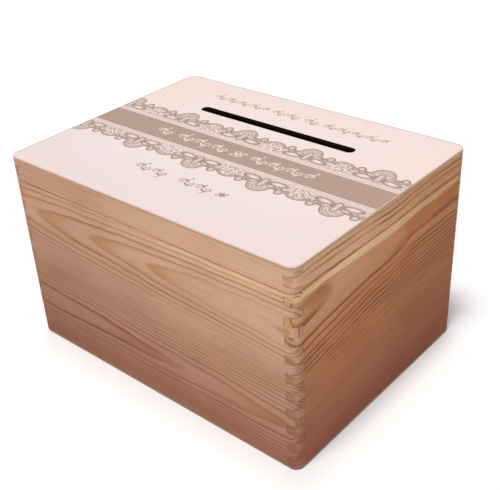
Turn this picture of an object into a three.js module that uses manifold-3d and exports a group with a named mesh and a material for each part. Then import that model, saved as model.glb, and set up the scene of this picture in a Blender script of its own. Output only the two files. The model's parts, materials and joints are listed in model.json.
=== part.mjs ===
// A wooden card box: a finger-jointed pine carcass sawn into a body and a lid, with plywood panels
// glued on below and above, a printed film on the lid, a card slot, and two butt hinges at the back.
// Millimetres, +Z up. The origin is the centre of the face that the box stands on.
// +X runs along the long side, and the hinges are at +Y.
import * as THREE from "three";
import { mergeVertices } from "three/addons/utils/BufferGeometryUtils.js";
import Module from "manifold-3d";

const wasm = await Module();
wasm.setup();

// Carcass
const LENGTH = 400;
const DEPTH = 300;
const HEIGHT = 240;
const WALL = 12;
const CORNER_R = 10;
const CORNER_STEPS = 7;
const PLY = 4;
const GLUE = 0.1;
const SEAM_Z = 212;
const SAW_GAP = 0.5;

// Finger joints: the short boards' fingers repeat down each corner at twice the finger height
const FINGER = 10.75;
const TOP_FINGER_Z = 224;

// Card slot, centred on the long axis
const SLOT_LENGTH = 220;
const SLOT_WIDTH = 12.5;
const SLOT_Y = 72;
const SLOT_STEPS = 8;

// Printed film
const FILM = 0.25;
const FILM_INSET = 0.6;
const FILM_SLOT_MARGIN = 0.3;

// Hinges
const HINGE_X = 120;
const HINGE_WIDTH = 35;
const LEAF_HEIGHT = 15;
const LEAF = 1.2;
const LEAF_CORNER_R = 2;
const KNUCKLES = 5;
const KNUCKLE_R = 2.4;
const KNUCKLE_GAP = 0.2;
const KNUCKLE_SIDES = 24;
const LEAF_CLEARANCE = 0.3;
const PIN_R = 1;
const BORE_R = 1.08;
const PIN_HEAD_R = 1.7;
const PIN_HEAD = 0.8;

// Screws
const SCREW_X = 11;
const SCREW_RISE = 9;
const SCREW_LENGTH = 10;
const SCREW_HEAD_R = 2.7;
const SHANK_R = 1.4;
const TIP = 2.5;
const SCREW_SIDES = 20;
const SCREW_CLEARANCE = 0.12;
const PILOT_R = 1.9;
const PILOT_EXTRA = 0.6;
const RECESS_LENGTH = 3;
const RECESS_WIDTH = 0.8;
const RECESS_DEPTH = 1;

const OVERCUT = 1;
const CARCASS_TOP = HEIGHT - PLY;
const BACK_Y = DEPTH / 2;
const AXIS_Y = BACK_Y + GLUE + KNUCKLE_R;
const PITCH = 2 * FINGER;

const pine = (shade) => new THREE.MeshStandardMaterial({ color: shade, roughness: 0.62, metalness: 0 });
const plywood = () => new THREE.MeshStandardMaterial({ color: 0xc9a57f, roughness: 0.7, metalness: 0 });
const printed = () => new THREE.MeshStandardMaterial({ color: 0xf1dfd9, roughness: 0.4, metalness: 0 });
const brass = () => new THREE.MeshStandardMaterial({ color: 0xb89a5a, roughness: 0.35, metalness: 1 });
const steel = () => new THREE.MeshStandardMaterial({ color: 0xb9b6ae, roughness: 0.35, metalness: 1 });

// Solids for the cuts and joins
function solid(geometry) {
  const bare = geometry.clone();
  bare.deleteAttribute("normal");
  bare.deleteAttribute("uv");
  const merged = mergeVertices(bare, 1e-4);
  return new wasm.Manifold(
    new wasm.Mesh({
      numProp: 3,
      vertProperties: merged.attributes.position.array,
      triVerts: new Uint32Array(merged.index.array),
    }),
  );
}

function geometryOf(manifold) {
  const mesh = manifold.getMesh();
  const geometry = new THREE.BufferGeometry();
  geometry.setAttribute("position", new THREE.BufferAttribute(mesh.vertProperties, 3));
  geometry.setIndex(new THREE.BufferAttribute(mesh.triVerts, 1));
  return geometry;
}

function piece(name, geometry, material) {
  const mesh = new THREE.Mesh(geometry, material);
  mesh.name = name;
  return mesh;
}

const prism = (shape, height, steps) =>
  new THREE.ExtrudeGeometry(shape, { depth: height, bevelEnabled: false, curveSegments: steps });

// Outlines
function roundedRectangle(width, height, radius) {
  const x = width / 2 - radius;
  const y = height / 2 - radius;
  const shape = new THREE.Shape();
  shape.absarc(x, y, radius, 0, Math.PI / 2);
  shape.absarc(-x, y, radius, Math.PI / 2, Math.PI);
  shape.absarc(-x, -y, radius, Math.PI, 1.5 * Math.PI);
  shape.absarc(x, -y, radius, 1.5 * Math.PI, 2 * Math.PI);
  return shape;
}

function slotOutline(length, width, y) {
  const reach = (length - width) / 2;
  const path = new THREE.Path();
  path.absarc(reach, y, width / 2, -Math.PI / 2, Math.PI / 2);
  path.absarc(-reach, y, width / 2, Math.PI / 2, 1.5 * Math.PI);
  return path;
}

// True where the short boards' fingers reach the corner, false where the long boards' fingers do
function shortBoardFinger(z) {
  const steps = (TOP_FINGER_Z + FINGER / 2 - z) / PITCH;
  return steps - Math.floor(steps) < 0.5;
}

// The heights at which one finger gives way to the next, between two levels
function fingerEdges(low, high) {
  const edges = [];
  for (let z = TOP_FINGER_Z + FINGER / 2 + FINGER; z > low; z -= FINGER) {
    if (z < high) edges.unshift(z);
  }
  return [low, ...edges, high];
}

// A board's outline: its fingers at both ends, with the glue's clearance on each side of a finger
function boardOutline(length, low, high, isShort) {
  const edges = fingerEdges(low, high);
  const end = [];
  for (let i = 0; i + 1 < edges.length; i++) {
    const own = shortBoardFinger((edges[i] + edges[i + 1]) / 2) === isShort;
    const reach = own ? length / 2 : length / 2 - WALL - GLUE;
    const step = own ? GLUE / 2 : -GLUE / 2;
    const from = i === 0 ? low : edges[i] + step;
    const to = i + 2 === edges.length ? high : edges[i + 1] - step;
    end.push([reach, from], [reach, to]);
  }
  const shape = new THREE.Shape(end.map(([x, z]) => new THREE.Vector2(x, z)));
  end.reverse().forEach(([x, z]) => shape.lineTo(-x, z));
  return shape;
}

// The waste outside one rounded vertical corner
function cornerWaste(sideX, sideY) {
  const x = LENGTH / 2 - CORNER_R;
  const y = DEPTH / 2 - CORNER_R;
  const out = CORNER_R + OVERCUT;
  const shape = new THREE.Shape();
  shape.moveTo(x + CORNER_R, y);
  shape.lineTo(x + out, y);
  shape.lineTo(x + out, y + out);
  shape.lineTo(x, y + out);
  shape.lineTo(x, y + CORNER_R);
  shape.absarc(x, y, CORNER_R, Math.PI / 2, 0, true);
  const waste = solid(prism(shape, HEIGHT + 2 * OVERCUT, CORNER_STEPS).translate(0, 0, -OVERCUT));
  const turned = sideX < 0 ? waste.mirror([1, 0, 0]) : waste;
  return sideY < 0 ? turned.mirror([0, 1, 0]) : turned;
}

const cornerWastes = [-1, 1].flatMap((x) => [-1, 1].map((y) => cornerWaste(x, y)));

// Boards, standing on edge: long ones along X, short ones along Y
function longBoard(side, low, high) {
  const board = prism(boardOutline(LENGTH, low, high, false), WALL, 1);
  board.rotateX(Math.PI / 2);
  board.translate(0, side < 0 ? -DEPTH / 2 + WALL : DEPTH / 2, 0);
  return cornerWastes.reduce((rest, waste) => rest.subtract(waste), solid(board));
}

function shortBoard(side, low, high) {
  const board = prism(boardOutline(DEPTH, low, high, true), WALL, 1);
  board.rotateX(Math.PI / 2);
  board.rotateZ(Math.PI / 2);
  board.translate(side < 0 ? -LENGTH / 2 : LENGTH / 2 - WALL, 0, 0);
  return cornerWastes.reduce((rest, waste) => rest.subtract(waste), solid(board));
}

// A blind hole in the back face for each screw, at one level
function drilled(board, z) {
  const depth = SCREW_LENGTH + PILOT_EXTRA + OVERCUT;
  const places = [-HINGE_X, HINGE_X].flatMap((x) => [x - SCREW_X, x + SCREW_X]);
  const holes = places.map((x) => {
    const hole = new THREE.CylinderGeometry(PILOT_R, PILOT_R, depth, SCREW_SIDES);
    return solid(hole.translate(x, BACK_Y + OVERCUT - depth / 2, z));
  });
  return holes.reduce((rest, hole) => rest.subtract(hole), board);
}

function boards(prefix, suffix, low, high, screwZ) {
  const group = new THREE.Group();
  const names = (side) => `${prefix}${side}_${suffix}`;
  group.add(piece(names("front"), geometryOf(longBoard(-1, low, high)), pine(0xc49a78)));
  group.add(piece(names("back"), geometryOf(drilled(longBoard(1, low, high), screwZ)), pine(0xbe9472)));
  group.add(piece(names("left"), geometryOf(shortBoard(-1, low, high)), pine(0xb88d6b)));
  group.add(piece(names("right"), geometryOf(shortBoard(1, low, high)), pine(0xa87a58)));
  return group;
}

// Panels that lie flat, with the carcass's rounded corners
function bottomPanel() {
  const shape = roundedRectangle(LENGTH, DEPTH, CORNER_R);
  return piece("bottom_panel", prism(shape, PLY - GLUE, CORNER_STEPS), plywood());
}

function lidTopPanel() {
  const shape = roundedRectangle(LENGTH, DEPTH, CORNER_R);
  shape.holes.push(slotOutline(SLOT_LENGTH, SLOT_WIDTH, SLOT_Y));
  const mesh = piece("lid_top_panel", prism(shape, PLY - GLUE, SLOT_STEPS), plywood());
  mesh.position.z = CARCASS_TOP + GLUE;
  return mesh;
}

function printFilm() {
  const shape = roundedRectangle(LENGTH - 2 * FILM_INSET, DEPTH - 2 * FILM_INSET, CORNER_R - FILM_INSET);
  const margin = 2 * FILM_SLOT_MARGIN;
  shape.holes.push(slotOutline(SLOT_LENGTH + margin, SLOT_WIDTH + margin, SLOT_Y));
  const mesh = piece("lid_print_film", prism(shape, FILM, SLOT_STEPS), printed());
  mesh.position.z = HEIGHT + GLUE;
  return mesh;
}

// Hinge parts lie with the pin's axis along X through the origin, and the leaf above it
const alongX = (geometry) => geometry.rotateZ(Math.PI / 2);

function leafSolid(ownsKnuckle) {
  const plateHeight = LEAF_HEIGHT - KNUCKLE_R - LEAF_CLEARANCE;
  const plate = prism(roundedRectangle(HINGE_WIDTH, plateHeight, LEAF_CORNER_R), LEAF, 4);
  plate.rotateX(Math.PI / 2);
  plate.translate(0, LEAF - KNUCKLE_R, KNUCKLE_R + LEAF_CLEARANCE + plateHeight / 2);
  let leaf = solid(plate);
  const slice = (HINGE_WIDTH - (KNUCKLES - 1) * KNUCKLE_GAP) / KNUCKLES;
  const webHeight = KNUCKLE_R + LEAF_CLEARANCE + LEAF_CORNER_R + OVERCUT;
  for (let i = 0; i < KNUCKLES; i++) {
    if (!ownsKnuckle(i)) continue;
    const x = -HINGE_WIDTH / 2 + slice / 2 + i * (slice + KNUCKLE_GAP);
    const web = new THREE.BoxGeometry(slice, LEAF, webHeight);
    web.translate(x, LEAF / 2 - KNUCKLE_R, webHeight / 2);
    const barrel = alongX(new THREE.CylinderGeometry(KNUCKLE_R, KNUCKLE_R, slice, KNUCKLE_SIDES));
    barrel.translate(x, 0, 0);
    leaf = leaf.add(solid(web)).add(solid(barrel));
  }
  const bore = alongX(new THREE.CylinderGeometry(BORE_R, BORE_R, HINGE_WIDTH + 2 * OVERCUT, KNUCKLE_SIDES));
  return leaf.subtract(solid(bore)).subtract(countersink(-SCREW_X)).subtract(countersink(SCREW_X));
}

// A countersunk hole through the leaf, wider than the screw's cone all the way
function countersink(x) {
  const top = SCREW_HEAD_R + SCREW_CLEARANCE + OVERCUT;
  const hole = new THREE.CylinderGeometry(top, top - LEAF - 2 * OVERCUT, LEAF + 2 * OVERCUT, SCREW_SIDES);
  hole.translate(x, LEAF / 2 - KNUCKLE_R, SCREW_RISE);
  return solid(hole);
}

const lidLeaf = () => leafSolid((i) => i % 2 === 1);
const bodyLeaf = () => leafSolid((i) => i % 2 === 0).mirror([0, 0, 1]);

function pinGeometry() {
  const half = HINGE_WIDTH / 2 + GLUE;
  const bevel = PIN_HEAD / 3;
  const profile = [
    [0, -half - PIN_HEAD],
    [PIN_HEAD_R - bevel, -half - PIN_HEAD],
    [PIN_HEAD_R, -half - PIN_HEAD + bevel],
    [PIN_HEAD_R, -half],
    [PIN_R, -half],
  ];
  const mirrored = profile.map(([r, y]) => [r, -y]).reverse();
  const points = [...profile, ...mirrored].map(([r, y]) => new THREE.Vector2(r, y));
  return alongX(new THREE.LatheGeometry(points, KNUCKLE_SIDES));
}

// A countersunk screw along Y, its head's flat face at y = 0 and its tip at -SCREW_LENGTH
function screwGeometry() {
  const cone = SCREW_HEAD_R - SHANK_R;
  const profile = [
    [0, -SCREW_LENGTH],
    [SHANK_R, -SCREW_LENGTH + TIP],
    [SHANK_R, -cone],
    [SCREW_HEAD_R, 0],
    [0, 0],
  ];
  const points = profile.map(([r, y]) => new THREE.Vector2(r, y));
  const body = solid(new THREE.LatheGeometry(points, SCREW_SIDES));
  const bar = new THREE.BoxGeometry(RECESS_LENGTH, 2 * RECESS_DEPTH, RECESS_WIDTH);
  const crossbar = new THREE.BoxGeometry(RECESS_WIDTH, 2 * RECESS_DEPTH, RECESS_LENGTH);
  return geometryOf(body.subtract(solid(bar).add(solid(crossbar))));
}

function hinge(side, x) {
  const group = new THREE.Group();
  group.position.set(x, AXIS_Y, SEAM_Z);
  group.add(piece(`hinge_${side}_body_leaf`, geometryOf(bodyLeaf()), brass()));
  group.add(piece(`hinge_${side}_lid_leaf`, geometryOf(lidLeaf()), brass()));
  group.add(piece(`hinge_${side}_pin`, pinGeometry(), steel()));
  for (const [leaf, rise] of [["body", -SCREW_RISE], ["lid", SCREW_RISE]]) {
    [-SCREW_X, SCREW_X].forEach((offset, i) => {
      const screw = piece(`hinge_${side}_${leaf}_screw_${i + 1}`, screwGeometry(), brass());
      screw.position.set(offset, LEAF - KNUCKLE_R, rise);
      group.add(screw);
    });
  }
  return group;
}

const cardBox = new THREE.Group();
cardBox.add(bottomPanel());
cardBox.add(boards("", "wall", PLY, SEAM_Z - SAW_GAP / 2, SEAM_Z - SCREW_RISE));
cardBox.add(boards("lid_", "rail", SEAM_Z + SAW_GAP / 2, CARCASS_TOP, SEAM_Z + SCREW_RISE));
cardBox.add(lidTopPanel());
cardBox.add(printFilm());
cardBox.add(hinge("left", -HINGE_X));
cardBox.add(hinge("right", HINGE_X));

export default cardBox;
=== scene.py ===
import json
import math

import bmesh
import bpy
from mathutils import Matrix, Vector


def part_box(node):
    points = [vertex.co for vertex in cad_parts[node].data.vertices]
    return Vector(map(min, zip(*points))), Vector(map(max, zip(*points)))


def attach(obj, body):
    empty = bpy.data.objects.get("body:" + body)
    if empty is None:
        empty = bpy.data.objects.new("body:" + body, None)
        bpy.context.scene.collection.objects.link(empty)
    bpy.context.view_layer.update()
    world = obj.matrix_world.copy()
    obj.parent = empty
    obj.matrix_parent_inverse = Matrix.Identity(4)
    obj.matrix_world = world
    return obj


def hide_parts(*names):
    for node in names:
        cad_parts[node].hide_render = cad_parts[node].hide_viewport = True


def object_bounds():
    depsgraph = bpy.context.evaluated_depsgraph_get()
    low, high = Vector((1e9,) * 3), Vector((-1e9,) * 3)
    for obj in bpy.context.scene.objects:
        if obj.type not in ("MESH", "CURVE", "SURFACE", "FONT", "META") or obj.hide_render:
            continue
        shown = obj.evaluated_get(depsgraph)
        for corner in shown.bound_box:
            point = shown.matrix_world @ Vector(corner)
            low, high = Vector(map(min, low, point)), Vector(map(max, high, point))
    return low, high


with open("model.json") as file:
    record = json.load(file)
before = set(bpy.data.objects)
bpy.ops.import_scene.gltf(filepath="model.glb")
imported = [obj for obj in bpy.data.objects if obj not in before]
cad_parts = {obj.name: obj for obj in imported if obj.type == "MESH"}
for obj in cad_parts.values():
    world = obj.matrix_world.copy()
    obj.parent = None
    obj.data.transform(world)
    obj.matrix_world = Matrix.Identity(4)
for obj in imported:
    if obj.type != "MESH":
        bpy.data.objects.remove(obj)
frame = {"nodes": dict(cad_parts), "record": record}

MM = 0.001
CAD_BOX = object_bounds()


def box_mm(node):
    """A CAD node's lowest and highest corners in millimetres."""
    low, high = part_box(node)
    return low / MM, high / MM


# ---- Sizes taken from the frame
HALF_LENGTH = box_mm("front_wall")[1].x
HALF_DEPTH = box_mm("right_wall")[1].y
WALL = HALF_LENGTH - box_mm("right_wall")[0].x
BASE = box_mm("front_wall")[0].z
BODY_TOP = box_mm("front_wall")[1].z
RAIL_BASE = box_mm("lid_front_rail")[0].z
RAIL_TOP = box_mm("lid_front_rail")[1].z
PANEL_TOP = box_mm("lid_top_panel")[1].z
FILM_TOP = box_mm("lid_print_film")[1].z


# ---- Shader arithmetic: a Field is a value that varies over a surface
class Field:
    def __init__(self, graph, socket):
        self.graph = graph
        self.socket = socket

    def math(self, operation, *others):
        """One of Blender's Math operations on this value and others."""
        return self.graph.math(operation, self, *others)

    def __add__(self, other):
        return self.math("ADD", other)

    def __sub__(self, other):
        return self.math("SUBTRACT", other)

    def __mul__(self, other):
        return self.math("MULTIPLY", other)

    def __truediv__(self, other):
        return self.math("DIVIDE", other)

    def __pow__(self, other):
        return self.math("POWER", other)

    def __abs__(self):
        return self.math("ABSOLUTE")

    def __rsub__(self, other):
        return self.graph.math("SUBTRACT", other, self)

    __radd__ = __add__
    __rmul__ = __mul__

    def above(self, low, high):
        """0 below low, 1 above high, and a smooth step between them."""
        return self.graph.map_range(self, low, high)

    def below(self, low, high):
        """1 below low, 0 above high."""
        return 1.0 - self.above(low, high)


class Graph:
    """The node tree of one material."""

    def __init__(self, name):
        self.material = bpy.data.materials.new(name)
        self.material.use_nodes = True
        self.tree = self.material.node_tree
        self.shader = self.tree.nodes["Principled BSDF"]
        coordinates = self.node("ShaderNodeTexCoord").outputs["Object"]
        parts = self.node("ShaderNodeSeparateXYZ", Vector=coordinates).outputs
        self.x, self.y, self.z = (Field(self, parts[axis]) * (1 / MM) for axis in "XYZ")

    def node(self, kind, settings=None, **inputs):
        """A new node, with settings for its own properties and inputs for its sockets."""
        made = self.tree.nodes.new(kind)
        for key, value in (settings or {}).items():
            setattr(made, key, value)
        for key, value in inputs.items():
            self.feed(made.inputs[key], value)
        return made

    def feed(self, socket, value):
        """Links a Field or a socket to an input, or sets the input to a plain value."""
        if isinstance(value, Field):
            value = value.socket
        if isinstance(value, bpy.types.NodeSocket):
            self.tree.links.new(value, socket)
        else:
            socket.default_value = value

    def math(self, operation, *values):
        made = self.node("ShaderNodeMath", {"operation": operation})
        for socket, value in zip(made.inputs, values):
            self.feed(socket, value)
        return Field(self, made.outputs[0])

    def map_range(self, value, low, high):
        made = self.node("ShaderNodeMapRange", {"interpolation_type": "SMOOTHSTEP"})
        self.feed(made.inputs["Value"], value)
        self.feed(made.inputs["From Min"], low)
        self.feed(made.inputs["From Max"], high)
        return Field(self, made.outputs["Result"])

    def vector(self, x, y, z):
        made = self.node("ShaderNodeCombineXYZ")
        for socket, value in zip(made.inputs, (x, y, z)):
            self.feed(socket, value)
        return made.outputs[0]

    def noise(self, x, y, z, detail=2.0, roughness=0.5, distortion=0.0):
        """Noise from 0 to 1. Each of x, y and z is a Field or a number, in noise cells."""
        made = self.node("ShaderNodeTexNoise", Vector=self.vector(x, y, z))
        made.inputs["Scale"].default_value = 1.0
        made.inputs["Detail"].default_value = detail
        made.inputs["Roughness"].default_value = roughness
        made.inputs["Distortion"].default_value = distortion
        return Field(self, made.outputs["Fac"])

    def scatter(self, value):
        """A random number from 0 to 1 for each whole value."""
        made = self.node("ShaderNodeTexWhiteNoise", {"noise_dimensions": "1D"})
        self.feed(made.inputs["W"], value)
        return Field(self, made.outputs["Value"])

    def mix(self, share, first, second, blend_type="MIX"):
        """The colour first where share is 0, second where it is 1."""
        settings = {"data_type": "RGBA", "blend_type": blend_type, "clamp_factor": True}
        made = self.node("ShaderNodeMix", settings)
        for name, value in (("Factor_Float", share), ("A_Color", first), ("B_Color", second)):
            socket = next(s for s in made.inputs if s.identifier == name)
            self.feed(socket, (*value, 1.0) if isinstance(value, tuple) else value)
        return next(s for s in made.outputs if s.identifier == "Result_Color")

    def tint(self, share, colour, tint):
        """The colour multiplied by a tint, as far as share says."""
        return self.mix(share, colour, tint, "MULTIPLY")

    def blend(self, share, first, second):
        """The Field first where share is 0, second where it is 1."""
        return first * (1.0 - share) + second * share

    def curve(self, value, corners):
        """Straight lines through (value, result) corners, level beyond them. The first value is 0."""
        made = self.node("ShaderNodeFloatCurve")
        span = corners[-1][0]
        top = max(result for _, result in corners)
        points = made.mapping.curves[0].points
        points[0].location = (0.0, corners[0][1] / top)
        points[-1].location = (1.0, corners[-1][1] / top)
        for place, result in corners[1:-1]:
            points.new(place / span, result / top)
        for point in points:
            point.handle_type = "VECTOR"
        made.mapping.update()
        self.feed(made.inputs["Value"], value / span)
        return Field(self, made.outputs["Value"]) * float(top)

    def staircase(self, value, edges):
        """A count that passes a whole number at each edge.
        A wide ring's count is held back, so that its late wood stays within its last third."""
        corners = [(0.0, 0.0)]
        for count, edge in enumerate(edges):
            width = edge - corners[-1][0]
            if width > WIDE_RING:
                corners.append((edge - LATE_WIDTH * width, count + EARLY_COUNT))
            corners.append((edge, count + 1))
        return self.curve(value, corners)

    def bump(self, height, distance, strength):
        """Relief on the shader, distance mm deep where height is 1."""
        made = self.node("ShaderNodeBump")
        made.inputs["Strength"].default_value = strength
        made.inputs["Distance"].default_value = distance * MM
        self.feed(made.inputs["Height"], height)
        self.tree.links.new(made.outputs["Normal"], self.shader.inputs["Normal"])

    def along(self, axis):
        """How far the surface faces along an axis: 1 on end faces, 0 on faces that run with it."""
        normal = self.node("ShaderNodeTexCoord").outputs["Normal"]
        parts = self.node("ShaderNodeSeparateXYZ", Vector=normal).outputs
        return abs(Field(self, parts[axis]))


# ---- Pine: growth rings are distances from a sloping pith, so faces, ends and rounded corners agree
# Colours are linear. A TINT multiplies the colour under it.
FRONT_PINE = (0.80, 0.497, 0.335)
# The right board's colour is partly its own tone and partly painted shade: the redder, deeper tone of a
# side in shade.
SHADED_RIGHT_PINE = (0.70, 0.312, 0.127)
SAPWOOD = (0.94, 0.65, 0.43)
WARM_SAPWOOD = (1.0, 0.67, 0.42)
LATE_TINT = (0.54, 0.40, 0.30)
OCHRE_TINT = (0.92, 0.74, 0.46)
DUSKY_TINT = (0.74, 0.64, 0.60)
WARM_DUSK_TINT = (0.77, 0.64, 0.47)
WARM_LATE_TINT = (0.55, 0.35, 0.11)
# The two foot tints below are painted shade: darker and redder towards the floor.
FOOT_SHADE_TINT = (0.52, 0.35, 0.305)
ROSY_FOOT_SHADE_TINT = (0.54, 0.385, 0.44)
END_TINT = (0.86, 0.77, 0.75)
JOINT_TINT = (0.42, 0.30, 0.24)
END_LINE_TINT = (0.38, 0.27, 0.22)
# End grain shows END_RINGS fine rings for each ring of the face.
END_RINGS = 3.0
# Painted shade: the wood darkens and turns redder from FOOT_TOP below the top over a height of FOOT_SPAN.
FOOT_TOP = 50.0
FOOT_SPAN = 175.0
# A ring wider than WIDE_RING counts only to EARLY_COUNT over all but its last LATE_WIDTH, a share of it.
WIDE_RING = 8.0
LATE_WIDTH = 0.34
EARLY_COUNT = 0.3
# A finger of the short boards has its middle at FINGER_Z, and FINGER_HALF is half a finger's height.
FINGER_PITCH = 21.5
FINGER_HALF = FINGER_PITCH / 4
FINGER_Z = 224.0
FINGER_DEPTH = WALL + 0.1
NOTCH_STEP = (FINGER_HALF - 0.175, FINGER_HALF + 0.125)
SEAM = (BODY_TOP + RAIL_BASE) / 2
# How far below the top the rails' own tone fades out, down to the seam.
RAIL_FADE = (26.0, 28.0)
# Added to a set of rings' count, so that its random ring strengths aren't another set's.
LOWER_SET = 40.0
BAND_SET = 80.0


class Rings:
    """Growth rings round a pith that runs along the board, off its outer face.

    centre is how far below the top the pith starts, and off how far off the face. tilt and drift are
    what each gains for every mm along the board. A negative upper scales the heights above the pith.
    """

    def __init__(self, centre, tilt, off, drift, edges, upper=1.0):
        self.centre = centre
        self.tilt = tilt
        self.off = off
        self.drift = drift
        self.edges = edges
        self.upper = upper

    def count(self, graph, run, down, inside):
        """The ring count, and how steeply the rings meet the face: 0 at the tip of a flame."""
        rise = down - (run * self.tilt + self.centre)
        if self.upper != 1.0:
            rise = rise.math("MAXIMUM", rise * self.upper)
        reach = run * self.drift + self.off + inside
        radius = (rise * rise + reach * reach) ** 0.5
        return graph.staircase(radius, self.edges), abs(rise) / radius


def ring_edges(first, *steps):
    """Ring radii from (how many, how wide) stretches."""
    edges = [first]
    for many, wide in steps:
        edges += [edges[-1] + wide * (i + 1) for i in range(many)]
    return edges


def finger_joints(graph, end, is_side):
    """Dark glue lines round the fingers at a board's ends, faint where they are well filled.
    end is the distance from the nearer end."""
    phase = ((graph.z - FINGER_Z) / FINGER_PITCH + 100.5).math("FRACT")
    centre = abs(phase - 0.5) * FINGER_PITCH
    level_lines = abs(centre - FINGER_HALF).below(0.15, 0.55) * end.below(FINGER_DEPTH, FINGER_DEPTH + 0.5)
    notch = centre.above(*NOTCH_STEP) if is_side else centre.below(*NOTCH_STEP)
    upright = end.below(FINGER_DEPTH + 0.35, FINGER_DEPTH + 0.75) * notch
    filled = graph.noise(graph.x * 0.06, graph.y * 0.06, graph.z * 0.06 + 5.0, detail=2.0).above(0.44, 0.6)
    return level_lines.math("MAXIMUM", upright) * (1.3 - filled)


def edge_wear(graph):
    """Small rubbed and dented places along the seam, the foot and the top edge."""
    patch = graph.noise(graph.x * 0.09, graph.y * 0.09, graph.z * 0.09 + 3.0, detail=4.0, roughness=0.75)
    seam = abs(graph.z - SEAM).below(0.5, 1.6) * 0.8
    foot = graph.z.below(BASE + 0.5, BASE + 2.4)
    rim = graph.z.above(RAIL_TOP - 1.0, RAIL_TOP)
    return seam.math("MAXIMUM", foot).math("MAXIMUM", rim) * patch.above(0.5, 0.66)


def pine_surface(graph, look, count, slant, run, down, inside):
    """Colour, roughness and relief of pine from its ring count.

    look holds the base colour, the axis that the ends face and the seed. It may hold how strong the
    rings are (contrast), where in a ring the late wood starts (line_from), more dark lines (mark),
    how far the wood turns pale, as sapwood and as painted highlight (pale), to resin (pool) or darker
    (dusk), other colours for these, and the shine. Its foot tint is painted shade towards the floor.
    """
    seed = look["seed"]
    contrast = look.get("contrast", 1.0)
    ring = count.math("FRACT")
    strength = graph.scatter(count.math("FLOOR") + seed) * 0.6 + 0.4
    flame = slant.below(0.1, 0.6)
    strength = strength.math("MAXIMUM", flame)
    fall = ring.below(0.87, 1.0)
    glow = ring.above(0.3, 0.85) * fall * strength * contrast
    line = ring.above(look.get("line_from", 0.55), 0.9) * fall * strength * contrast
    line = line.math("MAXIMUM", look.get("mark", 0.0))
    fibre = graph.noise(run * 0.016, down * 0.8, inside * 0.8, detail=5.0, roughness=0.7)
    streak = graph.noise(run * 0.006 + seed, down * 0.22, inside * 0.22, detail=3.0)
    cloud = graph.noise(run * 0.012, down * 0.02 + seed, inside * 0.02, detail=2.0)
    fleck = graph.noise(run * 0.12, down * 3.2, inside * 3.2, detail=1.0).above(0.64, 0.74)
    is_side = look["ends"] == "Y"
    ends = graph.along(look["ends"]).above(0.55, 0.95)
    half = HALF_DEPTH if is_side else HALF_LENGTH
    joints = finger_joints(graph, half - abs(graph.y if is_side else graph.x), is_side)
    fine_ring = (count * END_RINGS).math("FRACT")
    end_line = fine_ring.above(0.5, 0.8) * fine_ring.below(0.88, 1.0)
    end_line = end_line * (graph.scatter((count * END_RINGS).math("FLOOR")) * 0.8 + 0.2)
    wear = edge_wear(graph)
    shade = graph.mix(look.get("pale", 0.0), look["base"], look.get("sapwood", SAPWOOD))
    shade = graph.tint(streak.above(0.35, 0.75) * 0.3, shade, OCHRE_TINT)
    dusk_tint = look.get("dusk_tint", DUSKY_TINT)
    shade = graph.tint(cloud.above(0.4, 0.7) * 0.3, shade, dusk_tint)
    shade = graph.tint(glow.math("MAXIMUM", look.get("pool", 0.0)) * 0.9, shade, OCHRE_TINT)
    shade = graph.tint(line * (1.0 - flame * 0.75), shade, look.get("late_tint", LATE_TINT))
    shade = graph.tint((fibre - 0.5) * 1.25 + 0.1, shade, LATE_TINT)
    shade = graph.tint(fleck * 0.25, shade, LATE_TINT)
    shade = graph.tint(ends * 0.8, shade, END_TINT)
    shade = graph.tint(ends * end_line * 0.85, shade, END_LINE_TINT)
    shade = graph.tint(joints * 0.45, shade, JOINT_TINT)
    shade = graph.tint(wear * 0.5, shade, JOINT_TINT)
    # Painted shade: darker and redder towards the floor.
    shade = graph.tint((down - FOOT_TOP) / FOOT_SPAN, shade, look.get("foot_shade_tint", FOOT_SHADE_TINT))
    shade = graph.tint(look.get("dusk", 0.0), shade, dusk_tint)
    graph.tree.links.new(shade, graph.shader.inputs["Base Color"])
    rough = 0.62 - line * 0.12 + (fibre - 0.5) * 0.2 + ends * 0.12 - wear * 0.15
    graph.feed(graph.shader.inputs["Roughness"], rough)
    graph.shader.inputs["Specular IOR Level"].default_value = look.get("shine", 0.35)
    graph.bump(line * 0.6 + fibre * 0.45 - fleck * 0.3 - joints - wear * 0.5, 0.22, 0.7)


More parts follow.
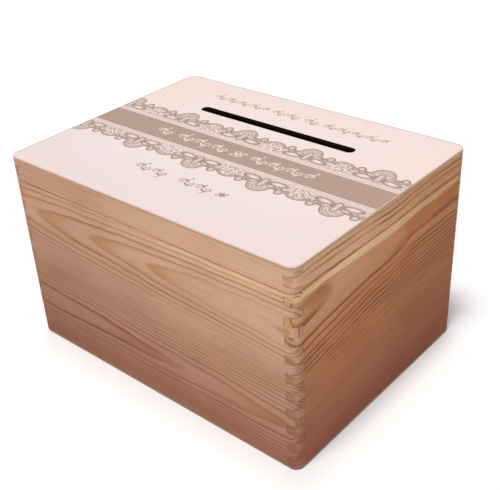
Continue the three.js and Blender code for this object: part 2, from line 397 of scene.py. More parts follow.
def front_pine():
    """Two flat-sawn strips: flames that point left above, and right below."""
    graph = Graph("pine_front")
    run = graph.x + HALF_LENGTH
    down = PANEL_TOP - graph.z
    inside = graph.y + HALF_DEPTH
    wave = (graph.noise(run * 0.012, down * 0.02, inside * 0.02) - 0.5) * 7.0
    wave = wave + (graph.noise(run * 0.05, down * 0.05, inside * 0.05) - 0.5) * 1.6
    level = down + wave
    upper = Rings(61, 0.022, 35.1, -0.0576, ring_edges(13.8, (1, 9.5), (4, 5.1), (30, 4.0)))
    lower = Rings(178, 0.016, 8.0, 0.039, ring_edges(18.0, (1, 5.9), (1, 5.0), (4, 4.2), (14, 3.3)))
    swap = level.above(116.0, 118.0)
    upper_count, upper_slant = upper.count(graph, run, level, inside)
    lower_count, lower_slant = lower.count(graph, run, level, inside)
    count = graph.blend(swap, upper_count, lower_count + LOWER_SET)
    slant = graph.blend(swap, upper_slant, lower_slant)
    strip_above = ((0, 0.2), (24, 0.2), (34, 0.8), (60, 1.0), (96, 0.9), (106, 0.35))
    strip_below = ((124, 0.35), (132, 1.2), (190, 1.2), (215, 1.0), (240, 0.8))
    strength = graph.curve(down, strip_above + strip_below)
    # Painted highlight: a pale band just below the seam, stronger to the right, drawn with the sapwood
    # colour.
    glare = down.above(27.0, 29.0) * down.below(30.0, 42.0)
    rail = down.below(*RAIL_FADE)
    look = {
        "base": FRONT_PINE,
        "ends": "X",
        "seed": 3.0,
        "contrast": strength,
        "dusk": run.below(40.0, 330.0) * 0.6,
        "pale": glare * (run.above(60.0, 360.0) * 0.6 + 0.15) + rail * run.above(100.0, 300.0) * 0.2,
    }
    pine_surface(graph, look, count, slant, run, down, inside)
    return graph.material


def right_pine():
    """A pale band under the lid, lines that sweep up to a kink, and level lines beyond it."""
    graph = Graph("pine_right")
    run = graph.y + HALF_DEPTH
    down = PANEL_TOP - graph.z
    inside = HALF_LENGTH - graph.x
    wave = (graph.noise(run * 0.014, down * 0.02, inside * 0.02 + 9.0) - 0.5) * 6.0
    wave = wave + (graph.noise(run * 0.05, down * 0.05, inside * 0.05) - 0.5) * 1.6
    level = down + wave - run.above(110.0, 160.0) * run.below(168.0, 215.0) * 3.5
    swept = level + run * 0.12 * level.above(58.0, 85.0)
    sweep_edges = ring_edges(26.3, (1, 15.6), (2, 8.6), (3, 6.0), (30, 4.6))
    sweep = Rings(52, 0.0, 19.2, 0.1122, sweep_edges, upper=-0.6)
    straight = ring_edges(30.0, (1, 30.0), (1, 11.5), (1, 6.2), (6, 5.5), (28, 4.9))
    band = ring_edges(4.0, (1, 6.5), (1, 7.0), (2, 10.2), (8, 12.0))
    kink = (run - down * 0.15).above(172.0, 188.0)
    sweep_count, sweep_slant = sweep.count(graph, run, swept, inside)
    flat = level + inside * 0.3
    below = graph.blend(kink, sweep_count, graph.staircase(flat, straight))
    under_band = level.above(37.8, 38.3)
    count = graph.blend(under_band, graph.staircase(flat, band) + BAND_SET, below)
    slant = graph.blend(under_band * (1.0 - kink), 1.0, sweep_slant)
    rail = down.below(*RAIL_FADE)
    # Partly painted shade: the right board turns to its redder shade tone lower down and further back, but
    # not at the finger ends beside the front.
    ruddy_shade = run.above(20.0, 150.0) * 0.4 + down.above(65.0, 90.0) * 0.45 + 0.45
    wood = graph.mix((ruddy_shade - rail * 0.3) * run.above(0.0, 16.0), FRONT_PINE, SHADED_RIGHT_PINE)
    calm = run.above(95.0, 130.0) * level.below(52.0, 57.0) * under_band * (1.0 - kink)
    pool = kink * under_band * level.below(48.0, 62.0)
    strength = graph.curve(down, ((0, 1.3), (50, 1.4), (66, 2.3), (110, 2.3), (126, 0.6), (240, 0.5)))
    patchy = graph.noise(run * 0.012, down * 0.05, 2.0).above(0.38, 0.58) * 0.7 + 0.5
    look = {
        "base": wood,
        "ends": "Y",
        "seed": 7.0,
        "contrast": strength * (1.0 - calm) * patchy * (run.above(0.0, 16.0) * 0.65 + 0.35),
        "pool": pool,
        "mark": abs(level - 38.3).below(0.1, 1.0) * run.above(15.0, 60.0) * 0.6,
        "line_from": 0.35,
        "late_tint": WARM_LATE_TINT,
        "dusk": run.above(60.0, 280.0) * 0.7,
        "dusk_tint": WARM_DUSK_TINT,
        "pale": (1.0 - under_band) * (1.0 - rail) * (run.below(60.0, 300.0) * 0.35 + 0.65) + rail * 0.3,
        "sapwood": WARM_SAPWOOD,
        # The painted shade towards the floor is rosier on this side.
        "foot_shade_tint": ROSY_FOOT_SHADE_TINT,
        "shine": 0.18,
    }
    pine_surface(graph, look, count, slant, run, down, inside)
    return graph.material


def plain_pine(graph, ends, run, inside, rings, seed):
    """Pine with one set of rings and no other figure."""
    down = PANEL_TOP - graph.z
    wave = (graph.noise(run * 0.012 + seed, down * 0.02, inside * 0.02) - 0.5) * 8.0
    count, slant = rings.count(graph, run, down + wave, inside)
    look = {"base": FRONT_PINE, "ends": ends, "seed": seed, "contrast": 0.85, "dusk": 0.2}
    pine_surface(graph, look, count, slant, run, down, inside)
    return graph.material


def back_pine():
    graph = Graph("pine_back")
    rings = Rings(130, 0.02, 12.0, 0.05, ring_edges(14.0, (4, 5.5), (24, 4.2)))
    return plain_pine(graph, "X", graph.x + HALF_LENGTH, HALF_DEPTH - graph.y, rings, 13.0)


def left_pine():
    graph = Graph("pine_left")
    rings = Rings(95, -0.03, 30.0, -0.06, ring_edges(12.0, (5, 6.0), (26, 4.4)))
    return plain_pine(graph, "Y", graph.y + HALF_DEPTH, graph.x + HALF_LENGTH, rings, 21.0)


# ---- Plywood: three plies on the edges, a quiet veneer on the faces, and a near-black slot edge, charred and with painted shade
VENEER = (0.72, 0.45, 0.29)
# The rim colours are painted light: a highlight along the sheet's top edge on the front and right, a shade
# line on the back and left, and a grey shade line on the film beside the back and left edges.
RIM_HIGHLIGHT = (0.92, 0.70, 0.58)
RIM_SHADE = (0.44, 0.38, 0.38)
RIM_SHADE_TINT = (0.55, 0.50, 0.50)
BASE_VENEER = (0.40, 0.23, 0.155)
# Near black, for the slot's char and for painted shade of the slot's dark inside.
CHAR_AND_SHADE = (0.018, 0.012, 0.009)
# The card slot: half its length, the radius of its round ends, and how far behind the middle it lies.
SLOT_HALF = 110.0
SLOT_R = 6.25
SLOT_Y = 72.0


def back_left_shade_line(graph, near, far):
    """1 within near of the lid's back or left edge, where a grey line of painted shade runs, and 0 beyond
    far.
    """
    left = graph.x.below(near - HALF_LENGTH, far - HALF_LENGTH)
    return left.math("MAXIMUM", graph.y.above(HALF_DEPTH - far, HALF_DEPTH - near))


def plywood(name, veneer, low, high, slotted):
    """Plywood between the heights low and high. A slotted sheet has a near-black slot, charred and with
    painted shade, and a rim with a painted highlight on the front and right and a painted shade line on the
    back and left.
    """
    graph = Graph(name)
    fibre = graph.noise(graph.x * 0.03, graph.y * 1.3, graph.z * 1.3, detail=4.0, roughness=0.6)
    figure = graph.noise(graph.x * 0.006, graph.y * 0.07, low * 0.1, detail=3.0, distortion=0.6)
    lines = (figure * 9.0).math("FRACT") ** 3.0
    shade = graph.mix(lines * 0.35, veneer, tuple(c * 0.72 for c in veneer))
    shade = graph.tint((fibre - 0.5) * 0.6 + 0.1, shade, LATE_TINT)
    third = (high - low) / 3
    over_lower_ply = graph.z.above(low + third * 0.9, low + third * 1.1)
    core = over_lower_ply * graph.z.below(high - third * 1.1, high - third * 0.9)
    face = graph.along("Z").above(0.4, 0.7)
    shade = graph.tint(core * (1.0 - face) * 0.6, shade, DUSKY_TINT)
    if slotted:
        # Painted highlight and shade along the sheet's top edge: pale on the front and right, grey on the
        # back and left.
        rim = graph.mix(back_left_shade_line(graph, 0.7, 1.0), RIM_HIGHLIGHT, RIM_SHADE)
        shade = graph.mix(graph.z.above(high - 1.1, high - 0.5) * 0.85, shade, rim)
        # Painted shade with char: the slot's walls go near black, for the dark inside of the slot.
        reach = (abs(graph.x) - (SLOT_HALF - SLOT_R)).math("MAXIMUM", 0.0)
        across = graph.y - SLOT_Y
        gap = (reach * reach + across * across) ** 0.5 - SLOT_R
        ragged_width = graph.noise(graph.x * 0.3, graph.y * 0.3, 0.0) * 0.8
        shade = graph.mix(gap.below(0.25, 1.3 + ragged_width), shade, CHAR_AND_SHADE)
    graph.tree.links.new(shade, graph.shader.inputs["Base Color"])
    graph.feed(graph.shader.inputs["Roughness"], 0.62 + (fibre - 0.5) * 0.2)
    graph.shader.inputs["Specular IOR Level"].default_value = 0.3
    graph.bump(fibre, 0.12, 0.6)
    return graph.material


# ---- Printed film: a rose parchment ground, a plain ribbon band, and a lace border on each side of it
PAPER = (0.925, 0.775, 0.735)
PAPER_WARM = (0.925, 0.745, 0.68)
PAPER_COOL = (0.915, 0.785, 0.78)
FRONT_PAPER_TINT = (0.945, 0.968, 1.0)
TAUPE = (0.475, 0.335, 0.265)
TAUPE_LINE = (0.365, 0.25, 0.19)
PALE_INK = (0.84, 0.70, 0.645)
# The film's surface is shown INK_RISE below its CAD top, so that the pen scrolls on it end at that top.
INK_RISE = 0.04
# The ribbon's middle and half width, and the distance between large scallops and the place of one.
RIBBON_Y = -3.0
RIBBON_HALF = 19.0
LACE_PITCH = 90.4
LACE_X = -14.5
# A faint crease runs in from the film's left edge.
CREASE_Y = HALF_DEPTH - 73.0


class Lace:
    """The lace in folded coordinates: x from the nearest large scallop, v from the ribbon's middle."""

    def __init__(self, graph):
        self.graph = graph
        turns = (graph.x - LACE_X) / LACE_PITCH + 100.5
        self.x = abs(turns.math("FRACT") - 0.5) * LACE_PITCH
        self.v = abs(graph.y - RIBBON_Y)
        self.ink = None
        self.clear = None

    def add(self, mask):
        """Inks where mask is 1."""
        self.ink = mask if self.ink is None else self.ink.math("MAXIMUM", mask)

    def stroke(self, distance, width, above=None):
        """Inks a line of a width where distance is 0, only where v is over above if that is given."""
        mask = abs(distance).below(width / 2 - 0.25, width / 2 + 0.35)
        if above is not None:
            mask = mask * self.v.above(above - 0.5, above + 0.5)
        self.add(mask)

    def open(self, distance):
        """Keeps the net and the filling out of where distance is below 0."""
        mask = distance.below(-0.4, 0.3)
        self.clear = mask if self.clear is None else self.clear.math("MAXIMUM", mask)

    def round(self, x, v):
        """Distance from a point."""
        dx, dv = self.x - x, self.v - v
        return (dx * dx + dv * dv) ** 0.5

    def ring(self, x, v, radius, width, above=None):
        self.stroke(self.round(x, v) - radius, width, above)

    def oval(self, x, v, half_x, half_v, turn):
        """Distance outside an oval's outline, roughly. turn is in degrees."""
        c, s = math.cos(math.radians(turn)), math.sin(math.radians(turn))
        dx, dv = self.x - x, self.v - v
        a, b = (dx * c + dv * s) / half_x, (dv * c - dx * s) / half_v
        return ((a * a + b * b) ** 0.5 - 1.0) * half_v

    def pill(self, x, low, high, radius):
        """Distance outside an upright bar with round ends."""
        dx = self.x - x
        over = (self.v - high).math("MAXIMUM", 0.0) + (low - self.v).math("MAXIMUM", 0.0)
        return (dx * dx + over * over) ** 0.5 - radius

    def beads(self, x, v, radius, many, size, above):
        """Dots spaced evenly on a circle."""
        angle = (self.v - v).math("ARCTAN2", self.x - x)
        off = abs((angle * (many / math.tau) + 50.0).math("FRACT") - 0.5) * (math.tau * radius / many)
        away = self.round(x, v) - radius
        dots = ((off * off + away * away) ** 0.5).below(size - 0.3, size + 0.3)
        self.add(dots * self.v.above(above - 0.3, above + 0.3))

    def inside(self):
        """1 over the whole lace, out to its scalloped edge."""
        mask = self.v.below(43.6, 44.4)
        half = LACE_PITCH / 2
        for x, v, radius in ((0.0, 42.7, 14.4), (25.8, 44.6, 5.3), (half, 31.5, 17.5)):
            mask = mask.math("MAXIMUM", self.round(x, v).below(radius - 0.3, radius + 0.3))
        return mask

    def net(self):
        """Fine crossing threads."""
        pitch = math.pi / 3.3
        one = abs(((self.x + self.v) * pitch).math("SINE")).above(0.66, 0.95)
        other = abs(((self.x - self.v) * pitch).math("SINE")).above(0.70, 0.95)
        return one.math("MAXIMUM", other)

    def flecks(self):
        """Small bright gaps, scattered unevenly."""
        return self.graph.noise(self.graph.x * 0.5, self.graph.y * 0.5, 9.0, detail=1.0).above(0.58, 0.64)

    def specks(self):
        """An irregular dense filling."""
        return self.graph.noise(self.graph.x * 0.34, self.graph.y * 0.34, 4.0, detail=1.0).above(0.46, 0.54)


def lace_ink(graph):
    """Where the lace's threads are inked, where its cloth is toned, and where the ribbon is."""
    lace = Lace(graph)
    half = LACE_PITCH / 2
    # large scallop
    lace.ring(0.0, 42.7, 13.5, 1.8, above=41.5)
    lace.ring(0.0, 42.7, 10.6, 0.9, above=41.0)
    lace.beads(0.0, 42.7, 11.9, 26, 0.6, above=42.0)
    lace.stroke(lace.pill(0.0, 31.0, 43.0, 3.3), 1.7)
    lace.ring(0.0, 42.7, 7.2, 0.8, above=44.0)
    lace.open(lace.oval(6.8, 39.6, 3.2, 1.0, 70.0))
    # leaves and strands beside it
    leaf = lace.oval(16.5, 32.4, 10.6, 4.0, -4.0)
    lace.stroke(leaf, 1.8)
    lace.open(leaf + 2.2)
    lace.stroke(lace.oval(12.5, 39.4, 8.0, 2.4, 14.0), 1.3)
    lace.stroke(lace.oval(22.0, 39.8, 3.6, 2.0, -30.0), 1.3)
    # picot, and the loops that join it to the scallops
    lace.ring(25.8, 44.6, 4.2, 2.2)
    lace.ring(18.0, 42.6, 2.9, 1.7)
    lace.ring(32.2, 41.4, 2.9, 1.7)
    # small scallop
    lace.ring(half, 31.5, 16.7, 1.6, above=40.4)
    lace.ring(half, 31.5, 14.2, 0.8, above=39.0)
    lace.beads(half, 31.5, 15.5, 50, 0.6, above=40.0)
    cloth = lace.v.above(RIBBON_HALF - 0.2, RIBBON_HALF + 0.2) * lace.inside()
    filling = lace.round(half, 31.5).below(12.6, 13.4) * lace.v.above(25.0, 26.0)
    gaps = lace.clear.math("MAXIMUM", lace.flecks() * 0.9)
    threads = graph.blend(filling, lace.net() * 0.6, lace.specks() * 0.9) * (1.0 - gaps)
    inked = lace.ink.math("MAXIMUM", threads) * cloth * lace.v.above(24.6, 25.2)
    ticks = abs((lace.x * (math.pi / 2.1)).math("SINE")).above(0.55, 0.9) * 0.55
    footing = lace.v.above(RIBBON_HALF + 1.0, RIBBON_HALF + 1.6) * lace.v.below(23.6, 24.2) * ticks
    ribbon = lace.v.below(RIBBON_HALF - 0.2, RIBBON_HALF + 0.2)
    light = gaps.math("MAXIMUM", filling * 0.8) * (1.0 - lace.ink) * cloth
    return inked.math("MAXIMUM", footing), cloth - light * 0.9, ribbon


def printed_film():
    graph = Graph("printed_film")
    inked, cloth, ribbon = lace_ink(graph)
    cloud = graph.noise(graph.x * 0.012, graph.y * 0.014, 3.0, detail=4.0, roughness=0.6)
    blush = graph.noise(graph.x * 0.007, graph.y * 0.009, 8.0, detail=2.0)
    edge_x = abs(graph.x).above(HALF_LENGTH * 0.45, HALF_LENGTH)
    edge_y = abs(graph.y).above(HALF_DEPTH * 0.45, HALF_DEPTH)
    warmth = edge_x.math("MAXIMUM", edge_y) * 0.6 + (cloud - 0.5) * 0.9
    shade = graph.mix(warmth, PAPER, PAPER_WARM)
    shade = graph.mix(blush.above(0.5, 0.7) * 0.5, shade, PAPER_COOL)
    shade = graph.tint(graph.y.below(-110.0, -20.0), shade, FRONT_PAPER_TINT)
    off_crease = graph.y - CREASE_Y + graph.noise(graph.x * 0.05, 2.0, 2.0) * 2.0
    crease = abs(off_crease).below(0.2, 1.4) * graph.x.below(-115.0, -100.0)
    shade = graph.tint(crease * 0.25, shade, PAPER_WARM)
    shade = graph.mix(cloth * 0.11, shade, TAUPE)
    shade = graph.mix(inked * 0.9, shade, TAUPE_LINE)
    tone = graph.noise(graph.x * 0.01, graph.y * 0.03, 5.0)
    band = graph.mix((tone - 0.4) * 0.5, TAUPE, tuple(c * 1.12 for c in TAUPE))
    shade = graph.mix(ribbon, shade, band)
    grain = graph.noise(graph.x * 0.9, graph.y * 0.9, 0.0, detail=3.0)
    mottle = graph.noise(graph.x * 0.35, graph.y * 0.35, 6.0, detail=3.0, roughness=0.7)
    shade = graph.tint(mottle.above(0.4, 0.7) * 0.25, shade, PAPER_COOL)
    # Painted shade: a grey line along the print's back and left edges.
    shade = graph.tint(back_left_shade_line(graph, 0.9, 2.8), shade, RIM_SHADE_TINT)
    graph.tree.links.new(shade, graph.shader.inputs["Base Color"])
    graph.feed(graph.shader.inputs["Roughness"], 0.46 + (grain - 0.5) * 0.16)
    graph.shader.inputs["Specular IOR Level"].default_value = 0.35
    graph.bump(grain - crease * 0.8, 0.03, 0.35)
    return graph.material


def print_ink(name, colour):
    """Ink with a fine uneven tone."""
    graph = Graph(name)
    speckle = graph.noise(graph.x * 2.0, graph.y * 2.0, 1.0, detail=2.0)
    shade = graph.mix(speckle * 0.4, colour, tuple(min(1.0, c * 1.2) for c in colour))
    graph.tree.links.new(shade, graph.shader.inputs["Base Color"])
    graph.feed(graph.shader.inputs["Roughness"], 0.4 + speckle * 0.15)
    return graph.material


# ---- Metals
# Each has a colour, the colour of its tarnish, and a roughness.
STAMPED_BRASS = ((0.72, 0.53, 0.26), (0.42, 0.28, 0.12), 0.34)
DRAWN_WIRE = ((0.55, 0.53, 0.5), (0.34, 0.31, 0.28), 0.36)
TURNED_BRASS = ((0.78, 0.6, 0.3), (0.5, 0.34, 0.16), 0.28)


def metal(name, colour, tarnish, roughness):
    """Worked metal: fine brush lines along X, tarnish clouds, and small pits."""
    graph = Graph(name)
    brushed = graph.noise(graph.x * 0.12, graph.y * 7.0, graph.z * 7.0, detail=4.0, roughness=0.65)
    cloud = graph.noise(graph.x * 0.08, graph.y * 0.2, graph.z * 0.11, detail=3.0, roughness=0.5)
    pits = graph.noise(graph.x * 1.6, graph.y * 1.6, graph.z * 1.6, detail=2.0).above(0.68, 0.74)
    shade = graph.mix(cloud.above(0.4, 0.7) * 0.45, colour, tarnish)
    shade = graph.mix((brushed - 0.4) * 0.7, shade, tarnish)
    shade = graph.mix(pits * 0.6, shade, tarnish)
    graph.tree.links.new(shade, graph.shader.inputs["Base Color"])
    graph.shader.inputs["Metallic"].default_value = 1.0
    rough = (cloud - 0.5) * 0.15 + (brushed - 0.5) * 0.3 + pits * 0.2 + roughness
    graph.feed(graph.shader.inputs["Roughness"], rough)
    graph.bump(brushed - pits, 0.02, 0.5)
    return graph.material


# ---- Meshes
def show(name, mesh, material, body, node=None):
    """Puts a finished mesh in the scene, riding on its body and standing for its CAD node."""
    obj = bpy.data.objects.new(name, mesh)
    bpy.context.scene.collection.objects.link(obj)
    mesh.materials.clear()
    mesh.materials.append(material)
    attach(obj, body)
    if node:
        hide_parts(node)
    return obj


# The upright rounds: the boards' and the film's corners, and the slot's ends. A point counts as on
# one from CHORD_SAG inside its radius to ROUND_SLACK outside it.
CORNER_R = 10.0
FILM_R = 9.4
CHORD_SAG = 0.12
ROUND_SLACK = 0.02
LONGEST_CHORD = 4.0
LEVEL_M = 1e-6
ROUNDS = [(x * (HALF_LENGTH - CORNER_R), y * (HALF_DEPTH - CORNER_R)) for x in (-1, 1) for y in (-1, 1)]
ROUNDS += [(-(SLOT_HALF - SLOT_R), SLOT_Y), (SLOT_HALF - SLOT_R, SLOT_Y)]


def on_round(point):
    """The upright round (centre and radius in mm) that a point in metres lies on, or within a chord of."""
    for x, y in ROUNDS:
        away = math.hypot(point.x / MM - x, point.y / MM - y)
        for radius in (CORNER_R, FILM_R, SLOT_R):
            if radius - CHORD_SAG < away < radius + ROUND_SLACK:
                return x, y, radius
    return None


def finer_rounds(bm):
    """Cuts each chord of the rounded corners and slot ends into three, out on the true arc.
    Returns the Y in metres below which edges stay sharp: here none do."""
    chords = []
    for edge in bm.edges:
        a, b = edge.verts
        is_level = abs(a.co.z - b.co.z) < LEVEL_M and edge.calc_length() < LONGEST_CHORD * MM
        if is_level and on_round(a.co) and on_round(a.co) == on_round(b.co):
            chords.append(edge)
    made = bmesh.ops.subdivide_edges(bm, edges=chords, cuts=2)
    for vertex in made["geom_inner"]:
        place = on_round(vertex.co) if isinstance(vertex, bmesh.types.BMVert) else None
        if place:
            x, y, radius = place
            away = Vector((vertex.co.x / MM - x, vertex.co.y / MM - y)).normalized() * radius
            vertex.co.x, vertex.co.y = (x + away.x) * MM, (y + away.y) * MM
    return -math.inf


# A screw's head is a cone SCREW_CONE high. The thread grows over THREAD_RUN_IN to its core and crest
# radii, and shrinks over THREAD_POINT to the tip.
SCREW_CONE = 1.3
THREAD_PITCH = 1.25
THREAD_CORE = 1.08
THREAD_CREST = 1.75
THREAD_RUN_IN = 1.2
THREAD_POINT = 2.6
ROWS_PER_TURN = 12


def threaded(bm):
    """Swaps a screw's plain shank for a cut thread that runs out to a point.
    The screw lies along Y, tip first. Returns the Y in metres below which edges stay sharp."""
    tip = min(bm.verts, key=lambda v: v.co.y).co.copy()
    head = max(v.co.y for v in bm.verts)
    shank = [v for v in bm.verts if v.co.y < head - (SCREW_CONE + 0.2) * MM]
    bmesh.ops.delete(bm, geom=shank, context="VERTS")
    ring = [v for v in bm.verts if v.is_boundary]
    ring.sort(key=lambda v: math.atan2(v.co.z - tip.z, v.co.x - tip.x))
    sides = len(ring)
    neck = (ring[0].co - Vector((tip.x, ring[0].co.y, tip.z))).length / MM
    length = (ring[0].co.y - tip.y) / MM
    rows = round(length / THREAD_PITCH * ROWS_PER_TURN)
    for row in range(1, rows):
        depth = length * row / rows
        run_in = min(1.0, depth / THREAD_RUN_IN)
        point = min(1.0, (length - depth) / THREAD_POINT)
        made = []
        for k in range(sides):
            angle = math.atan2(ring[k].co.z - tip.z, ring[k].co.x - tip.x)
            lift = max(0.0, math.cos(math.tau * depth / THREAD_PITCH - angle)) ** 1.5
            cut = THREAD_CORE + (THREAD_CREST - THREAD_CORE) * lift
            radius = (neck + (cut - neck) * run_in) * point * MM
            across = Vector((math.cos(angle), 0, math.sin(angle))) * radius
            made.append(bm.verts.new(Vector((tip.x, ring[0].co.y, tip.z)) + across))
        for vertex in made:
            vertex.co.y = tip.y + (length - depth) * MM
        for k in range(sides):
            bm.faces.new((ring[k], ring[(k + 1) % sides], made[(k + 1) % sides], made[k]))
        ring = made
    end = bm.verts.new(tip)
    for k in range(sides):
        bm.faces.new((ring[k], ring[(k + 1) % sides], end))
    bmesh.ops.recalc_face_normals(bm, faces=bm.faces)
    return head - SCREW_CONE * MM


# Points closer than MERGE_M are one, faces within FLAT_ANGLE are one, and an edge is one that folds
# by more than EDGE_ANGLE.
MERGE_M = 2e-6
FLAT_ANGLE = math.radians(0.5)
EDGE_ANGLE = math.radians(30)
HEIGHT_SLACK = 0.05


def eased(node, sharp, soft, is_soft, reshape):
    """A copy of a CAD node's mesh, reshaped, then marked for rounding over.
    Edges are rounded soft mm wide where is_soft says, else sharp mm, or not at all where reshape says."""
    mesh = frame["nodes"][node].data.copy()
    bm = bmesh.new()
    bm.from_mesh(mesh)
    bmesh.ops.remove_doubles(bm, verts=bm.verts, dist=MERGE_M)
    bmesh.ops.dissolve_limit(bm, angle_limit=FLAT_ANGLE, verts=bm.verts, edges=bm.edges)
    sharp_below = reshape(bm)
    weight = bm.edges.layers.float.new("bevel_weight_edge")
    for edge in bm.edges:
        is_edge = len(edge.link_faces) == 2 and edge.calc_face_angle() > EDGE_ANGLE
        if is_edge and edge.verts[0].co.y >= sharp_below:
            a, b = (v.co / MM for v in edge.verts)
            edge[weight] = 1.0 if is_soft(a, b) else sharp / soft
    for face in bm.faces:
        face.smooth = True
    bm.to_mesh(mesh)
    bm.free()
    return mesh


def rounded_over(obj, width, segments):
    """Rounds over the marked edges."""
    bevel = obj.modifiers.new("eased_edges", "BEVEL")
    bevel.limit_method = "WEIGHT"
    bevel.width = width * MM
    bevel.segments = segments
    bevel.use_clamp_overlap = True
    normals = obj.modifiers.new("even_shading", "WEIGHTED_NORMAL")
    normals.keep_sharp = True
    return obj


def level_with(*heights):
    """Says of an edge whether it lies level at one of these heights."""
    return lambda a, b: any(max(abs(a.z - h), abs(b.z - h)) < HEIGHT_SLACK for h in heights)


def no_edge(a, b):
    """Says of every edge that it isn't a soft one."""
    return False


BODY_OF = {n: body for body, nodes in frame["record"]["behaviour"]["bodies"].items() for n in nodes}


def dress(node, material, sharp, soft, is_soft, segments=3, reshape=finer_rounds):
    """Stands a finer piece with rounded edges in for a CAD node."""
    mesh = eased(node, sharp, soft, is_soft, reshape)
    obj = show(f"{node}_shaped", mesh, material, BODY_OF[node], node)
    return rounded_over(obj, soft, segments)


def make_boards():
    woods = {"front": front_pine(), "back": back_pine(), "left": left_pine(), "right": right_pine()}
    seam = level_with(BODY_TOP, RAIL_BASE)
    for side, wood in woods.items():
        dress(f"{side}_wall", wood, 0.12, 0.7, seam)
        dress(f"lid_{side}_rail", wood, 0.12, 0.7, seam)


def make_panels():
    low, high = box_mm("bottom_panel")
    base_ply = plywood("plywood_bottom", BASE_VENEER, low.z, high.z, False)
    dress("bottom_panel", base_ply, 0.15, 2.4, level_with(low.z))
    low, high = box_mm("lid_top_panel")
    top_ply = plywood("plywood_top", VENEER, low.z, high.z, True)
    dress("lid_top_panel", top_ply, 0.15, 0.5, level_with(high.z))
    low, high = box_mm("lid_print_film")
    film = dress("lid_print_film", printed_film(), 0.04, 0.08, level_with(high.z), segments=2)
    for vertex in film.data.vertices:
        if vertex.co.z > (low.z + high.z) / 2 * MM:
            vertex.co.z -= INK_RISE * MM


# ---- Pen scrolls, in place of lettering: a running vine of half circles, with a curl in each
# The broad pen is held at PEN_ANGLE and draws PEN_THINNEST of its width along it. SLANT and SQUASH
# lean the scrolls and lower them.
PEN_ANGLE = math.radians(40)
PEN_THINNEST = 0.42
TAPER_END = 0.3
TAPER_RATE = 5
SLANT = 0.34
SQUASH = 0.82
CURL_TURN = 2.7 * math.pi
CURL_INWARD = 0.86
TALL_LEAF = 1.5
SHORT_LEAF = 0.7
LEAF_STEPS = 12
LOOP_STEPS = 24
# Strokes that cross lie these steps lower, so that no two tops share a plane.
CURL_LEVEL = 0.004
LEAF_LEVEL = 0.008
LOOP_LEVEL = 0.003


def pen_stroke(bm, points, width, level):
    """A flat stroke of ink along points, as wide as a broad pen makes it, tapering to its ends.
    Its top lies level below the film's CAD top."""
    rings = []
    for i, point in enumerate(points):
        before, after = points[max(i - 1, 0)], points[min(i + 1, len(points) - 1)]
        along = (after - before).normalized()
        across = Vector((-along.y, along.x))
        share = i / (len(points) - 1)
        taper = min(1.0, TAPER_END + TAPER_RATE * min(share, 1 - share))
        turned = abs(math.sin(math.atan2(along.y, along.x) - PEN_ANGLE))
        pen = PEN_THINNEST + (1 - PEN_THINNEST) * turned
        side = across * (width * pen * taper / 2)
        top, foot = FILM_TOP - level, FILM_TOP - INK_RISE * 1.5
        corners = ((point - side, foot), (point + side, foot), (point + side, top), (point - side, top))
        rings.append([bm.verts.new((p.x * MM, p.y * MM, z * MM)) for p, z in corners])
    for first, second in zip(rings, rings[1:]):
        for k in range(4):
            bm.faces.new((first[k], second[k], second[(k + 1) % 4], first[(k + 1) % 4]))
    bm.faces.new(rings[0])
    bm.faces.new(reversed(rings[-1]))


def leaning(x, y, line):
    """A point of the upright scroll, squashed and slanted like handwriting, about its line's height."""
    return Vector((x + y * SLANT, line + y * SQUASH))


def arc(centre, radius, start, turn, line, inward=0.0, steps=30):
    """Points round a centre, moving inward by that share of the radius on the way."""
    points = []
    for i in range(steps + 1):
        share = i / steps
        angle = start + turn * share
        reach = radius * (1 - inward * share**0.8)
        points.append(leaning(centre + reach * math.cos(angle), reach * math.sin(angle), line))
    return points


def vine(bm, start, end, line, size, width):
    """One run of scroll from start to end, of half circles about size wide, each with a curl and a leaf."""
    many = max(1, round((end - start) / size))
    radius = (end - start) / many / 2
    for i in range(many):
        centre = start + radius * (2 * i + 1)
        way = 1 if i % 2 == 0 else -1
        stem = arc(centre, radius, math.pi, -math.pi * way, line)
        curl = arc(centre, radius, math.pi, -CURL_TURN * way, line, inward=CURL_INWARD, steps=60)
        pen_stroke(bm, stem, width, 0.0)
        pen_stroke(bm, curl, width * 0.9, CURL_LEVEL)
        tall = radius * (TALL_LEAF if i % 3 == 0 else SHORT_LEAF)
        foot = Vector((centre + radius * 0.2, way * radius * 0.95))
        leaf = []
        for k in range(LEAF_STEPS + 1):
            share = k / LEAF_STEPS
            sway = math.sin(share * math.pi) * radius * 0.3
            leaf.append(leaning(foot.x + sway, foot.y + way * tall * share, line))
        pen_stroke(bm, leaf, width * 1.15, LEAF_LEVEL)


def rosette(bm, x, line, radius, width):
    """Four small loops round a point."""
    for quarter in range(4):
        angle = math.pi / 4 + quarter * math.pi / 2
        loop = []
        for k in range(LOOP_STEPS + 1):
            turn = k / LOOP_STEPS * math.tau
            reach = radius * 0.5 * (1 - math.cos(turn))
            swing = angle + 0.5 * math.sin(turn)
            loop.append(leaning(x + reach * math.cos(swing), reach * math.sin(swing), line))
        pen_stroke(bm, loop, width, LOOP_LEVEL * quarter)


# Each scroll has its line's Y, the width of a half circle, the width of the pen, its ink, and the
# start and end of each run. Some have a rosette: its place along X and its radius.
SCROLLS = {
    "print_scroll_upper": (110.0, 9.6, 1.15, "dark", ((-123, -40), (-33, 8), (14, 36), (42, 126))),
    "print_scroll_ribbon": (-3.5, 12.6, 1.8, "pale", ((-111, -87), (-79, -3), (28, 111))),
    "print_scroll_lower": (-84.0, 12.4, 1.45, "dark", ((-64, -17), (0, 46))),
}
ROSETTES = {"print_scroll_ribbon": (12.0, 8.5), "print_scroll_lower": (60.0, 6.0)}


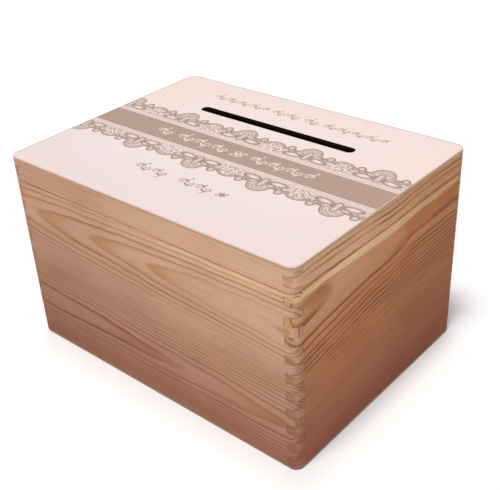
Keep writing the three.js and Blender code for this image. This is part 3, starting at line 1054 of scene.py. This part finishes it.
def make_scrolls():
    inks = {"dark": print_ink("ink_dark", TAUPE_LINE), "pale": print_ink("ink_pale", PALE_INK)}
    for name, (line, size, width, ink, runs) in SCROLLS.items():
        bm = bmesh.new()
        for start, end in runs:
            vine(bm, start, end, line, size, width)
        if name in ROSETTES:
            x, radius = ROSETTES[name]
            rosette(bm, x, line, radius, width)
        bmesh.ops.recalc_face_normals(bm, faces=bm.faces)
        mesh = bpy.data.meshes.new(name)
        bm.to_mesh(mesh)
        bm.free()
        show(name, mesh, inks[ink], "lid")


def make_hinges():
    brass = metal("stamped_brass", *STAMPED_BRASS)
    steel = metal("drawn_wire", *DRAWN_WIRE)
    bright = metal("turned_brass", *TURNED_BRASS)
    for side in ("left", "right"):
        for leaf in ("body", "lid"):
            dress(f"hinge_{side}_{leaf}_leaf", brass, 0.12, 0.2, no_edge, segments=2)
            for number in (1, 2):
                make_screw(f"hinge_{side}_{leaf}_screw_{number}", bright)
        dress(f"hinge_{side}_pin", steel, 0.12, 0.2, no_edge, segments=2)


def make_screw(node, material):
    """A countersunk wood screw with a cross recess and a cut thread."""
    dress(node, material, 0.05, 0.1, no_edge, segments=2, reshape=threaded)


make_boards()
make_panels()
make_scrolls()
make_hinges()


# ---- Stage, light and camera
FLOOR_HALF_M = 6.0
FLOOR_WHITE = (0.97, 0.97, 0.97, 1.0)


def make_floor():
    mesh = bpy.data.meshes.new("floor")
    corners = [(x * FLOOR_HALF_M, y * FLOOR_HALF_M, 0.0) for x, y in ((-1, -1), (1, -1), (1, 1), (-1, 1))]
    mesh.from_pydata(corners, [], [(0, 1, 2, 3)])
    floor = bpy.data.objects.new("floor", mesh)
    floor.location.z = CAD_BOX[0].z
    bpy.context.scene.collection.objects.link(floor)
    graph = Graph("pale_floor")
    graph.shader.inputs["Base Color"].default_value = FLOOR_WHITE
    graph.shader.inputs["Roughness"].default_value = 0.9
    mesh.materials.append(graph.material)


# A broad light from above the front, and a weak one from behind that lays a thin shadow along the
# near edges. Each has a name, an azimuth and elevation in degrees, an energy, and how wide it is in
# degrees. WORLD_LIGHT is the even light from all round, and WORLD_SEEN how bright the backdrop looks.
WORLD_LIGHT = 0.22
WORLD_SEEN = 1.0
SUNS = (("key", 5.0, 74.0, 2.26, 15.0), ("rim", -140.0, 84.0, 0.52, 9.0))
# The camera looks at its target from an azimuth and elevation in degrees. Its sensor and lens are
# Blender's sensor width and focal length in millimetres, and its shift is a share of the width.
CAMERA_TARGET_M = (0.007, -0.022, 0.12)
CAMERA_DISTANCE_M = 0.985
CAMERA_DIRECTION = (43.24, 31.66)
CAMERA_ROLL = math.radians(-3.80)
CAMERA_SENSOR = 36.0
CAMERA_LENS = 62.17
CAMERA_SHIFT = (0.04, 0.02)
CAMERA_NEAREST_M = 0.01


def direction(azimuth, elevation):
    """The way towards something seen at an azimuth, from the front, and an elevation, in degrees."""
    turn, lift = math.radians(azimuth), math.radians(elevation)
    level = math.cos(lift)
    return Vector((math.sin(turn) * level, -math.cos(turn) * level, math.sin(lift)))


def make_light():
    world = bpy.data.worlds.new("studio")
    world.use_nodes = True
    background = world.node_tree.nodes["Background"]
    background.inputs["Color"].default_value = (1.0, 1.0, 1.0, 1.0)
    seen = world.node_tree.nodes.new("ShaderNodeLightPath").outputs["Is Camera Ray"]
    strength = world.node_tree.nodes.new("ShaderNodeMath")
    strength.operation = "MULTIPLY_ADD"
    strength.inputs[1].default_value = WORLD_SEEN - WORLD_LIGHT
    strength.inputs[2].default_value = WORLD_LIGHT
    world.node_tree.links.new(seen, strength.inputs[0])
    world.node_tree.links.new(strength.outputs[0], background.inputs["Strength"])
    bpy.context.scene.world = world
    for name, azimuth, elevation, energy, spread in SUNS:
        data = bpy.data.lights.new(name, "SUN")
        data.energy = energy
        data.angle = math.radians(spread)
        light = bpy.data.objects.new(name, data)
        light.rotation_mode = "QUATERNION"
        light.rotation_quaternion = direction(azimuth, elevation).to_track_quat("Z", "Y")
        bpy.context.scene.collection.objects.link(light)
    bpy.context.scene.view_settings.view_transform = "Standard"


def make_camera():
    back = direction(*CAMERA_DIRECTION)
    level = Vector((0, 0, 1)).cross(back).normalized()
    upright = back.cross(level)
    right = level * math.cos(CAMERA_ROLL) + upright * math.sin(CAMERA_ROLL)
    up = upright * math.cos(CAMERA_ROLL) - level * math.sin(CAMERA_ROLL)
    matrix = Matrix((right, up, back)).transposed().to_4x4()
    matrix.translation = Vector(CAMERA_TARGET_M) + back * CAMERA_DISTANCE_M
    data = bpy.data.cameras.new("camera")
    data.sensor_width = CAMERA_SENSOR
    data.lens = CAMERA_LENS
    data.shift_x, data.shift_y = CAMERA_SHIFT
    data.clip_start = CAMERA_NEAREST_M
    camera = bpy.data.objects.new("camera", data)
    camera.matrix_world = matrix
    bpy.context.scene.collection.objects.link(camera)
    bpy.context.scene.camera = camera


make_floor()
make_light()
make_camera()
